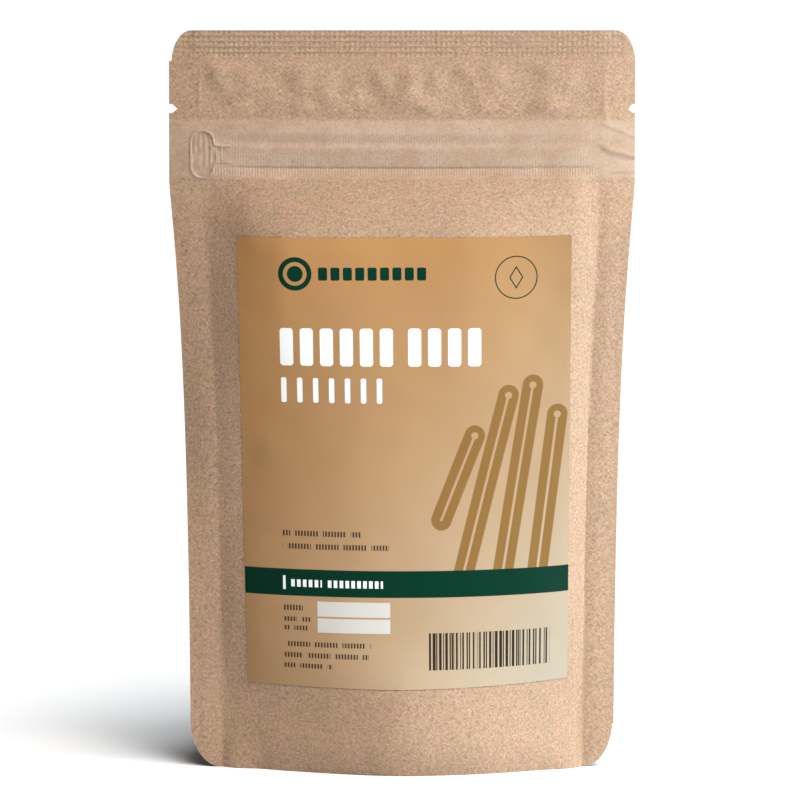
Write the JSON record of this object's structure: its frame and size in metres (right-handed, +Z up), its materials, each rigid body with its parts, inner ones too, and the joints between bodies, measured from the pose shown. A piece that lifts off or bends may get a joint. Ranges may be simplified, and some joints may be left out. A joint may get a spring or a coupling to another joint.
{
  "type": "kraft paper stand-up pouch",
  "caption": "Shut kraft paper stand-up pouch with a zip, tear notches and a pasted front label, as used for whole spices.",
  "frame": {"origin": "middle of the footprint, on the surface the pouch stands on", "axes": "+Z up the pouch, +Y from the labelled front to the back, +X to the right as seen from the front"},
  "size_m": [0.12, 0.0366, 0.1915],
  "materials": {
    "kraft_paper": "matt, fibrous brown kraft",
    "label_paper": "satin printed label in tan with a dark green band"
  },
  "bodies": {
    "root": {"pouch": "kraft_paper", "label": "label_paper"}
  },
  "joints": []
}
